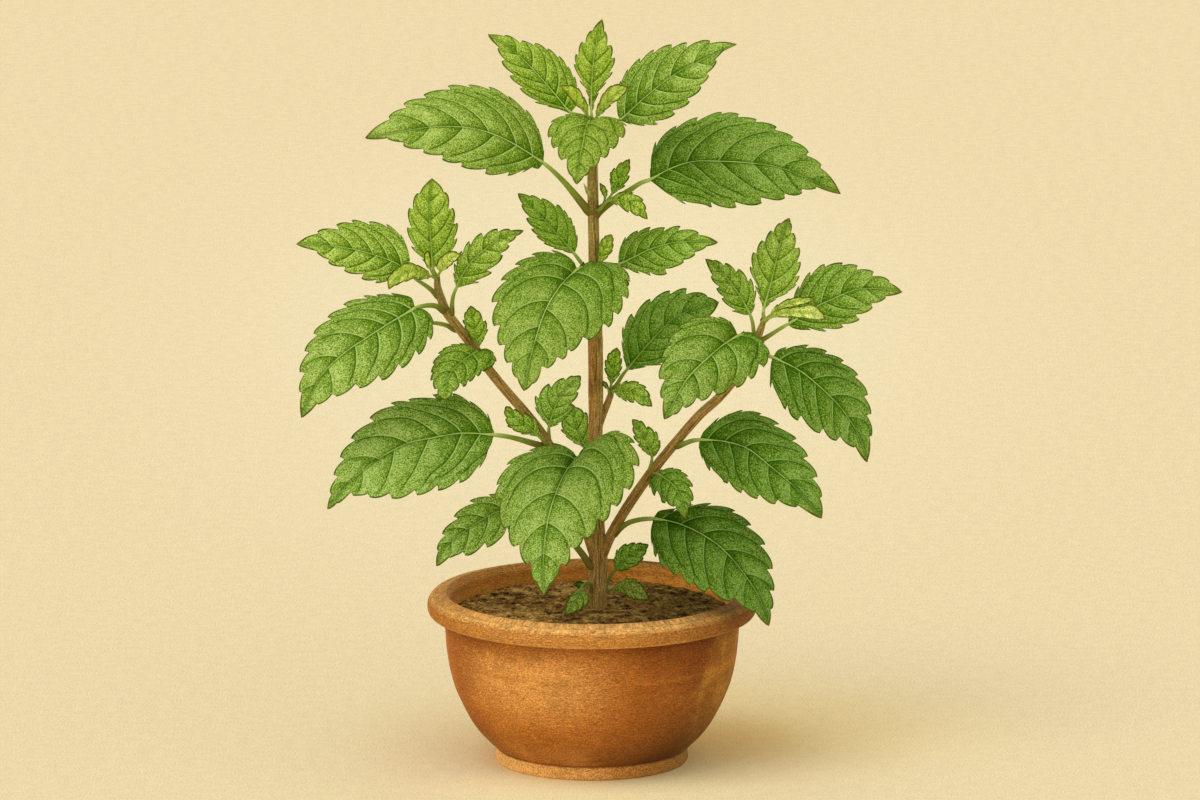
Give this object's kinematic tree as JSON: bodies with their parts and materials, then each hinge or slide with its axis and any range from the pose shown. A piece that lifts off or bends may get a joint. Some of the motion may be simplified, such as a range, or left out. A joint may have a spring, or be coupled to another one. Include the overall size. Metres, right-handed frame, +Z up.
{
  "type": "potted holy basil plant",
  "caption": "Bushy herb with toothed oval leaves on a woody upright stem and two long side branches, growing in a round terracotta bowl pot with a rolled rim.",
  "frame": {"origin": "centre of the flat underside of the pot's foot, on the axis of the pot", "axes": "+Z up along the axis of the pot, +X to the right as seen in the picture, the viewer stands on the -Y side"},
  "size_m": [0.234, 0.1334, 0.2884],
  "materials": {
    "terracotta": "matte",
    "potting_soil": "matte",
    "woody_stem": "satin",
    "green_stem": "satin",
    "leaf": "satin",
    "young_leaf": "satin"
  },
  "bodies": {
    "root": {"axil_leaf_behind": "leaf", "base_leaf_back": "leaf", "base_leaf_left": "leaf", "base_leaf_right": "leaf", "base_leaf_up": "leaf", "crown_axil_leaf_low": "leaf", "crown_axil_leaf_tiny": "leaf", "crown_axil_leaf_up": "leaf", "crown_leaf_left": "leaf", "crown_leaf_right": "leaf", "left_axil_leaf_left": "leaf", "left_axil_leaf_up": "leaf", "left_big_leaf": "leaf", "left_big_leaf_back": "leaf", "left_branch": "green_stem", "left_lower_leaf": "leaf", "left_small_leaf_front": "leaf", "left_small_leaf_up": "leaf", "left_tip_leaf_left": "leaf", "left_tip_leaf_right": "leaf", "left_tip_leaf_top": "young_leaf", "left_tip_young_left": "young_leaf", "left_tip_young_right": "young_leaf", "left_tip_young_up": "young_leaf", "low_leaf_left": "leaf", "low_leaf_right": "leaf", "lower_leaf_back": "leaf", "lower_leaf_front": "leaf", "main_stem": "woody_stem", "middle_shoot": "green_stem", "pot": "terracotta", "right_branch": "green_stem", "right_leaf_back": "leaf", "right_leaf_front": "leaf", "right_lower_leaf": "leaf", "right_outer_leaf": "leaf", "right_small_leaf_low": "leaf", "right_small_leaf_up": "leaf", "right_tip_leaf_left": "leaf", "right_tip_leaf_right": "leaf", "right_tip_leaf_top": "young_leaf", "right_tip_young_lower": "young_leaf", "right_tip_young_upper": "young_leaf", "shoot_leaf_back": "leaf", "shoot_leaf_low": "leaf", "shoot_leaf_tiny": "leaf", "shoot_leaf_up": "leaf", "soil": "potting_soil", "top_leaf_centre": "young_leaf", "top_leaf_front": "young_leaf", "top_leaf_left": "leaf", "top_leaf_right": "leaf", "upper_axil_leaf": "young_leaf", "upper_leaf_back": "leaf", "upper_leaf_front": "leaf", "upper_leaf_left": "leaf", "upper_leaf_right": "leaf", "young_leaf_left": "young_leaf", "young_leaf_right": "young_leaf"}
  },
  "joints": []
}
